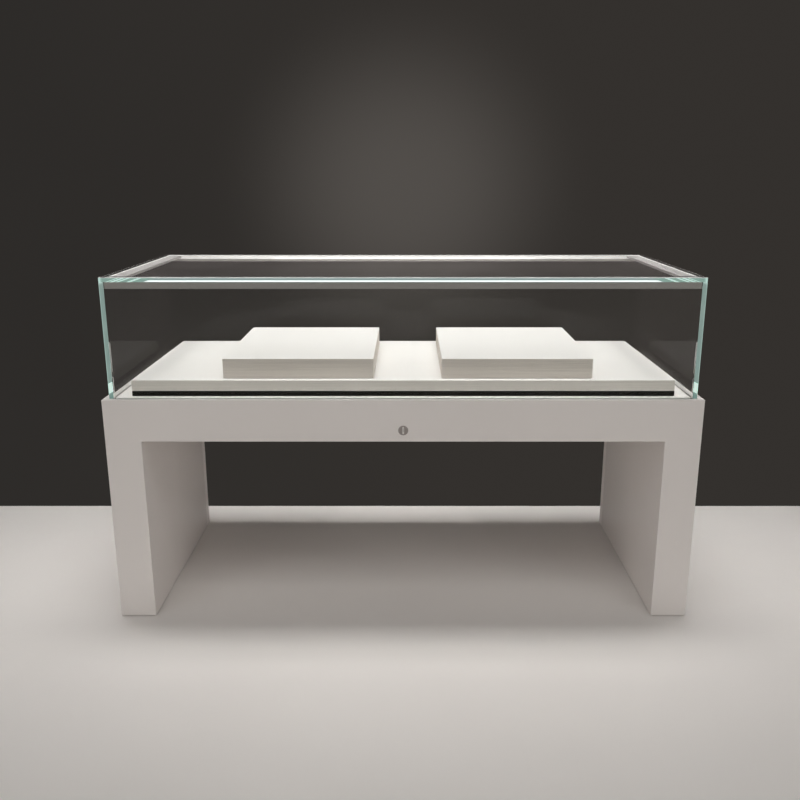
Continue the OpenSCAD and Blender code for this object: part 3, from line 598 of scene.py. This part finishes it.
def lathe(bm, profile, steps, slot=0):
    """Adds a surface turned about Z through (radius, z) points. A radius of 0 closes an end."""
    angles = [2 * math.pi * i / steps for i in range(steps)]
    rings, faces = [], []
    for radius, z in profile:
        around = angles if radius > 0 else angles[:1]
        points = [(radius * math.cos(angle), radius * math.sin(angle), z) for angle in around]
        rings.append([bm.verts.new(point) for point in points])
    for low, high in zip(rings, rings[1:]):
        for i in range(steps):
            after = (i + 1) % steps
            if len(low) == 1:
                corners = (low[0], high[after], high[i])
            elif len(high) == 1:
                corners = (low[i], low[after], high[0])
            else:
                corners = (low[i], low[after], high[after], high[i])
            faces.append(bm.faces.new(corners))
    for face in faces:
        face.material_index = slot
        face.smooth = True
    bmesh.ops.recalc_face_normals(bm, faces=faces)


def crease(bm):
    """Keeps the sharp edges crisp on a smooth mesh."""
    limit = math.radians(35)
    bm.normal_update()
    for edge in bm.edges:
        edge.smooth = len(edge.link_faces) == 2 and edge.calc_face_angle(0.0) < limit


# White shell and panels

def welded_copy(node):
    """Loose copy of a CAD node whose faces share their corners."""
    obj = bpy.data.objects.new("tmp_" + node, nodes[node].data.copy())
    bpy.context.scene.collection.objects.link(obj)
    bm = bmesh.new()
    bm.from_mesh(obj.data)
    bmesh.ops.remove_doubles(bm, verts=bm.verts[:], dist=SAME_POINT)
    bm.to_mesh(obj.data)
    bm.free()
    return obj


def united(names):
    """One mesh that takes in several CAD nodes, without the seams between them."""
    parts = [welded_copy(name) for name in names]
    for other in parts[1:]:
        join = parts[0].modifiers.new("join", "BOOLEAN")
        join.operation = "UNION"
        join.solver = "EXACT"
        join.object = other
    graph = bpy.context.evaluated_depsgraph_get()
    mesh = bpy.data.meshes.new_from_object(parts[0].evaluated_get(graph))
    for obj in parts:
        bpy.data.objects.remove(obj)
    bm = bmesh.new()
    bm.from_mesh(mesh)
    bpy.data.meshes.remove(mesh)
    bmesh.ops.remove_doubles(bm, verts=bm.verts[:], dist=SAME_POINT)
    bmesh.ops.dissolve_limit(bm, angle_limit=math.radians(0.5), verts=bm.verts[:], edges=bm.edges[:])
    return bm


def base_shell():
    """Front sheet, legs and apron as one dressed skin, because the welds between them are flush."""
    welded = ("front_apron", "leg_casing_left", "leg_casing_right")
    shell = new_piece("base_shell", united(welded), "base", "white_coat", FINISH["shell"])
    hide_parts(*welded)
    soften(shell, 0.0012, 3)


def panels():
    """The other sheets, the top and the hood's rails. Their shapes are the CAD's own."""
    for name in ("leg_cover_left", "leg_cover_right", "rear_apron", "underside_panel"):
        dress(name, FINISH["white"], 0.0006)
    dress("top_panel", FINISH["board"], 0.0005)
    for side in SIDES:
        dress("hood_rail_" + side, FINISH["white"], 0.0004)


# Deck and risers

def mark_sides(bm):
    """Gives the upright faces the edge material and all others the face material."""
    bm.normal_update()
    for face in bm.faces:
        face.material_index = 1 if abs(face.normal.z) < 0.5 else 0


def deck_board():
    """Deck with sawn edges of a warmer tone, and the dark plinth under it."""
    bm = bmesh.new()
    add_box(bm, *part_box("deck"))
    mark_sides(bm)
    obj = new_piece("deck_board", bm, "base", "white_board", FINISH["board"], FINISH["deck_edge"])
    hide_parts("deck")
    soften(obj, 0.0012, 3)
    dress("plinth", FINISH["black_board"], 0.0008)


def riser_box(node):
    """Riser of boards, open below as in the CAD."""
    wall = 0.009
    lo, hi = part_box(node)
    bm = bmesh.new()
    add_box(bm, lo, hi)
    add_box(bm, (lo[X] + wall, lo[Y] + wall, lo[Z]), (hi[X] - wall, hi[Y] - wall, hi[Z] - wall))
    at_foot = {corner for corner in bm.verts if corner.co.z - lo[Z] < SAME_POINT}
    open_ends = [face for face in bm.faces if at_foot.issuperset(face.verts)]
    bmesh.ops.delete(bm, geom=open_ends, context="FACES_ONLY")
    rims = [edge for edge in bm.edges if edge.is_boundary]
    bmesh.ops.bridge_loops(bm, edges=rims)
    bmesh.ops.recalc_face_normals(bm, faces=bm.faces[:])
    mark_sides(bm)
    obj = new_piece(node + "_box", bm, "base", "white_board", FINISH["board"], FINISH["riser_edge_shaded"])
    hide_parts(node)
    soften(obj, 0.0009, 3)


# Glass

def pane(node, axis, edge=None, exposed=(), rim=None):
    """Pane with ground arrises. axis is across its thickness, and exposed lists its open edges' axes."""
    glue, arris_width = 0.0001, 0.0009
    lo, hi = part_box(node)
    for i in (X, Y, Z):
        if i != axis and i not in exposed:
            lo[i] += glue
            hi[i] -= glue
    bm = bmesh.new()
    add_box(bm, lo, hi)
    bmesh.ops.bevel(
        bm, geom=bm.edges[:], offset=arris_width, offset_type="OFFSET", segments=1,
        profile=0.5, affect="EDGES", clamp_overlap=True,
    )
    bm.normal_update()
    face_slot, bonded_slot, edge_slot, rim_slot = range(4)
    for face in bm.faces:
        normal = face.normal
        if any(abs(normal[i]) > 0.5 for i in exposed):
            face.material_index = rim_slot if rim is not None and normal.z > 0.5 else edge_slot
        else:
            face.material_index = face_slot if abs(normal[axis]) > 0.5 else bonded_slot
    mats = [FINISH[name] for name in ("glass", "glass_bonded", edge, rim) if name]
    obj = new_piece(node + "_pane", bm, "hood", "clear_glass", *mats)
    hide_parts(node)


def glass_hood():
    """The five panes, the seal round their foot and the soft ring that the hood closes on."""
    pane("glass_top", Z, "glass_top_edge", (X, Y), "glass_arris")
    pane("glass_front", Y)
    pane("glass_rear", Y)
    for side in PAIR:
        pane("glass_" + side, X, "glass_side_edge", (Y,))
    dress("glazing_seal", FINISH["silicone"])
    dress("hood_gasket", FINISH["rubber"])


# Lights

def lights():
    """The two light bars with their diffusers, and the strips between them."""
    for place in ("front", "rear"):
        dress("light_bar_" + place, FINISH["bar"], 0.0003)
        dress("light_diffuser_" + place, FINISH["opal"])
    for side in PAIR:
        dress("side_strip_" + side, FINISH["strip"], 0.0005)
    dress("led_boards", FINISH["led_board"])


# Lock

def lock_shutter():
    """Sprung shutter, which closes the key slot from behind the plug's face, with a dark bar on it as
    painted shade for its slit.
    """
    half_width, half_length = 0.00235, 0.0100
    sink, depth = 0.0005, 0.0014
    slit_half_width, slit_half_length = 0.0003, 0.0042
    slit_proud, slit_depth = 0.0001, 0.0004
    arc_steps = 8
    lo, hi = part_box("lock_plug")
    x, y, z = (lo[X] + hi[X]) / 2, lo[Y] + sink, (lo[Z] + hi[Z]) / 2
    outline = []
    for end in (1, -1):
        for i in range(arc_steps + 1):
            angle = math.pi * i / arc_steps
            along = half_length - half_width + half_width * math.sin(angle)
            outline.append((x + end * half_width * math.cos(angle), y, z + end * along))
    bm = bmesh.new()
    face = bm.faces.new([bm.verts.new(point) for point in outline])
    pushed = bmesh.ops.extrude_face_region(bm, geom=[face])["geom"]
    back = [corner for corner in pushed if isinstance(corner, bmesh.types.BMVert)]
    bmesh.ops.translate(bm, vec=(0, depth, 0), verts=back)
    bmesh.ops.recalc_face_normals(bm, faces=bm.faces[:])
    obj = new_piece("lock_shutter", bm, "lock", "bright_steel", FINISH["shutter"])
    soften(obj, 0.0003, 2, 50)
    # Painted shade: a thin dark bar, a hair proud of the shutter, stands in for the shade in its slit.
    slit_shade = bmesh.new()
    add_box(
        slit_shade, (x - slit_half_width, y - slit_proud, z - slit_half_length),
        (x + slit_half_width, y + slit_depth, z + slit_half_length),
    )
    soften(new_piece("lock_keyway_shade", slit_shade, "lock", "dark_metal", FINISH["black_metal"]), 0.0001, 1)


def lock():
    """Barrel, plug, cam and strike, with the shutter in the plug's face."""
    dress("lock_barrel", FINISH["nickel"], 0.0004)
    dress("lock_plug", FINISH["nickel"], 0.0004)
    for name in ("lock_cam", "cam_screw", "lock_strike"):
        dress(name, FINISH["steel"], 0.0002)
    lock_shutter()


# Feet

def levelling_foot(node):
    """Rubber-soled pad, spanner hexagon and threaded stem in the place of the CAD foot."""
    lo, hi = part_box(node)
    pad_r = (hi[X] - lo[X]) / 2
    sole, pad_top, hex_top = 0.0015, 0.004, 0.008
    hex_r, stem_r, root_r = 0.009, 0.005, 0.0042
    pitch, ease = 0.0015, 0.0005
    top = hi[Z] - lo[Z]
    bm = bmesh.new()
    lathe(bm, [(0, 0), (pad_r - ease, 0), (pad_r, ease), (pad_r, sole), (0, sole)], 64, 1)
    lathe(bm, [
        (0, sole), (pad_r - 2 * ease, sole), (pad_r - 2 * ease, pad_top - ease),
        (pad_r - 3 * ease, pad_top), (0, pad_top),
    ], 64)
    lathe(bm, [
        (0, pad_top), (hex_r - 2 * ease, pad_top), (hex_r, pad_top + ease),
        (hex_r, hex_top - ease), (hex_r - 2 * ease, hex_top), (0, hex_top),
    ], 6)
    thread = [(0, hex_top), (root_r, hex_top)]
    for i in range(int((top - hex_top - 2 * ease) / pitch)):
        z = hex_top + i * pitch
        thread += [(root_r, z + 0.2 * pitch), (stem_r, z + 0.5 * pitch), (root_r, z + 0.8 * pitch)]
    thread += [(root_r, top - ease), (root_r - ease, top), (0, top)]
    lathe(bm, thread, 32)
    foot_place = ((lo[X] + hi[X]) / 2, (lo[Y] + hi[Y]) / 2, lo[Z])
    bmesh.ops.translate(bm, vec=foot_place, verts=bm.verts[:])
    crease(bm)
    obj = new_piece(node + "_dressed", bm, node, "dark_metal", FINISH["steel"], FINISH["rubber"])
    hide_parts(node)


# Fittings

def fittings():
    """Frame, hinges, struts and light supply. Their shapes are the CAD's own."""
    for name in ("leg_plates", "leg_posts", "long_rails", "cross_rails"):
        dress(name, FINISH["tube"], 0.0008)
    for name in ("panel_screws", "hinge_leaves_base", "hinge_leaves_hood", "strut_brackets",
                 "strut_arms", "contact_pad"):
        dress(name, FINISH["steel"], 0.0002)
    dress("hinge_pins", FINISH["steel"])
    for side in PAIR:
        dress("strut_rod_" + side, FINISH["steel"])
        dress("strut_cylinder_" + side, FINISH["black_metal"], 0.0004)
    dress("led_driver", FINISH["white"], 0.001)
    dress("power_inlet", FINISH["plastic"], 0.0005)
    dress("power_rocker", FINISH["plastic"], 0.0003)
    dress("contact_block", FINISH["plastic"], 0.0004)
    dress("supply_leads", FINISH["rubber"])


# Stage

WALL_Y = 0.488
STAGE_REACH = 9.0
GROUND = (0.0335, 0.0305, 0.0275, 1)


def stage_piece(name, corners, mat):
    """Adds a flat sheet of the stage, which isn't part of the case."""
    bm = bmesh.new()
    bm.faces.new([bm.verts.new(c) for c in corners])
    mesh = bpy.data.meshes.new(name)
    bm.to_mesh(mesh)
    bm.free()
    obj = bpy.data.objects.new(name, mesh)
    bpy.context.scene.collection.objects.link(obj)
    put(obj, mat)
    return obj


def pale_floor():
    """Plain pale floor with a satin finish."""
    t = Tree("floor_pale")
    body = t.principled(Specular_IOR_Level=0.3)
    clouds = t.span(t.noise(1.4, 3.0), 0.0, 1.0)
    t.tint(t.mix(clouds, (0.775, 0.745, 0.72, 1), (0.745, 0.715, 0.69, 1)))
    t.link(t.span(t.noise(25.0, 3.0), 0.45, 0.55), body.inputs["Roughness"])
    far = STAGE_REACH
    stage_piece("floor", [(-far, -far, 0), (far, -far, 0), (far, far, 0), (-far, far, 0)], t.mat)


def dark_wall():
    """Plain dark wall behind the case, with a painted pool of light over it and painted shade on its
    left side.

    It has a front side alone, and takes no part in the lighting.
    """
    glow_z, glow_radius, wall_height = 1.17, 0.72, 6.0
    left_tone, right_tone = (0.0215, 0.0195, 0.018, 1), (0.0345, 0.030, 0.0265, 1)
    glow_tone = (0.083, 0.075, 0.068, 1)
    t = Tree("wall_dark")
    emit = t.nodes.new("ShaderNodeEmission")
    x, _, z = t.place()
    above = t.math("SUBTRACT", z, glow_z)
    far = t.math("SQRT", t.math("ADD", t.math("MULTIPLY", x, x), t.math("MULTIPLY", above, above)))
    # Painted shade on the left side, and a painted pool of light round the glow's centre below.
    dim = t.mix(t.span(x, 0.0, 1.0, -1.2, 0.2), left_tone, right_tone)
    dim = t.mix(t.span(t.noise(0.9, 2.0), 0.4, 0.6), dim, GROUND)
    glow = t.nodes.new("ShaderNodeMapRange")
    glow.interpolation_type = "SMOOTHERSTEP"
    glow.inputs["From Min"].default_value = glow_radius
    glow.inputs["From Max"].default_value = 0.0
    t.link(far, glow.inputs["Value"])
    t.link(t.mix(glow.outputs["Result"], dim, glow_tone), emit.inputs[0])
    t.show(t.blend(t.backfacing(), emit.outputs[0], t.shader("Transparent", (1, 1, 1, 1))))
    y, wide, top = WALL_Y, STAGE_REACH, wall_height
    obj = stage_piece("wall", [(-wide, y, 0), (wide, y, 0), (wide, y, top), (-wide, y, top)], t.mat)
    obj.visible_diffuse = False
    obj.visible_shadow = False


def studio_world():
    """Soft light from all round, with a dark ground for what is seen, mirrored or looked through."""
    soft_light = 0.03
    world = bpy.data.worlds.new("studio")
    bpy.context.scene.world = world
    world.use_nodes = True
    tree_nodes, links = world.node_tree.nodes, world.node_tree.links
    tree_nodes.clear()
    out = tree_nodes.new("ShaderNodeOutputWorld")
    both = tree_nodes.new("ShaderNodeMixShader")
    soft = tree_nodes.new("ShaderNodeBackground")
    seen = tree_nodes.new("ShaderNodeBackground")
    soft.inputs[0].default_value = (1.0, 0.99, 0.975, 1)
    soft.inputs[1].default_value = soft_light
    seen.inputs[0].default_value = GROUND
    path = tree_nodes.new("ShaderNodeLightPath")
    total = path.outputs["Is Camera Ray"]
    for ray in ("Is Glossy Ray", "Is Transmission Ray"):
        add = tree_nodes.new("ShaderNodeMath")
        add.operation = "ADD"
        add.use_clamp = True
        links.new(total, add.inputs[0])
        links.new(path.outputs[ray], add.inputs[1])
        total = add.outputs[0]
    links.new(total, both.inputs[0])
    links.new(soft.outputs[0], both.inputs[1])
    links.new(seen.outputs[0], both.inputs[2])
    links.new(both.outputs[0], out.inputs[0])


def lamp(name, place, aim, size, power, glossy=True, spread=180):
    """Adds a rectangular lamp. Power is in watts and spread in degrees."""
    data = bpy.data.lights.new(name, "AREA")
    data.spread = math.radians(spread)
    data.shape = "RECTANGLE"
    data.size, data.size_y = size
    data.energy = power
    data.color = (1.0, 0.985, 0.965)
    obj = bpy.data.objects.new(name, data)
    bpy.context.scene.collection.objects.link(obj)
    obj.location = place
    obj.rotation_mode = "QUATERNION"
    obj.rotation_quaternion = (Vector(aim) - Vector(place)).to_track_quat("-Z", "Y")
    obj.visible_camera = False
    obj.visible_glossy = glossy
    obj.visible_transmission = False


def led_lamps():
    """The light of the rear bar, thrown inwards, and of the front bar and side strips, thrown down."""
    deck_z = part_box("deck")[1][Z]
    ahead = 0.001
    lo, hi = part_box("light_diffuser_rear")
    lit_length = 0.55 * (hi[X] - lo[X])
    lamp(
        "lamp_bar_rear", (0, lo[Y] - ahead, (lo[Z] + hi[Z]) / 2), (0, 0, deck_z),
        (lit_length, hi[Z] - lo[Z]), 0.15, False,
    )
    lo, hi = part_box("light_bar_front")
    bar_width = hi[Y] - lo[Y]
    y = hi[Y] - 0.2 * bar_width
    lamp(
        "lamp_bar_front", (0, y, lo[Z] - ahead), (0, y, deck_z),
        (hi[X] - lo[X], 0.3 * bar_width), 0.17, False, 8,
    )
    for side in PAIR:
        lo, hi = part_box("side_strip_" + side)
        x = (lo[X] + hi[X]) / 2
        lamp(
            "lamp_strip_" + side, (x, 0, lo[Z] - ahead), (x, 0, deck_z),
            (0.6 * (hi[X] - lo[X]), hi[Y] - lo[Y]), 0.13, False, 16,
        )


def studio_lamps():
    """Soft studio light: two lamps above the case, three in front of it and one behind it.

    The two above give the floor its shadow between the legs. The others don't show in the glass.
    """
    low, centre = (0, 0, 0.3), (0, 0, 0.5)
    lamp("lamp_top", (0, 0.11, 3.45), (0, 0.11, 0), (3.2, 0.5), 13.3, spread=60)
    lamp("lamp_top_rear", (0, 0.35, 3.45), (0, 0.35, 0), (3.2, 0.06), 3.5, spread=60)
    for side, x in zip(PAIR, (-3.3, 3.3)):
        lamp("lamp_front_" + side, (x, -3.0, 1.4), centre, (2.4, 1.6), 20, False)
    lamp("lamp_front_high", (0, -2.3, 3.9), low, (4.8, 1.6), 53, False)
    lamp("lamp_rear", (0, 3.6, 2.4), low, (3.6, 1.8), 6, False)


def camera():
    """Camera at the photograph's viewpoint, as solved from the case's straight edges in it."""
    place, tilt = (0.0122, -2.4966, 1.2179), math.radians(74.951)
    data = bpy.data.cameras.new("camera")
    data.lens = 38.027
    data.sensor_width = 36.0
    data.shift_x = -0.0096875
    data.clip_start, data.clip_end = 0.05, 60
    cam = bpy.data.objects.new("camera", data)
    bpy.context.scene.collection.objects.link(cam)
    cam.location = place
    cam.rotation_euler = (tilt, 0, 0)
    bpy.context.scene.camera = cam


# Making the scene

base_shell()
panels()
deck_board()
for side in PAIR:
    riser_box("riser_" + side)
glass_hood()
lights()
lock()
for place in ("front", "rear"):
    for side in PAIR:
        levelling_foot(f"foot_{place}_{side}")
fittings()

pale_floor()
dark_wall()
studio_world()
studio_lamps()
led_lamps()
camera()
bpy.context.scene.view_settings.view_transform = "Standard"
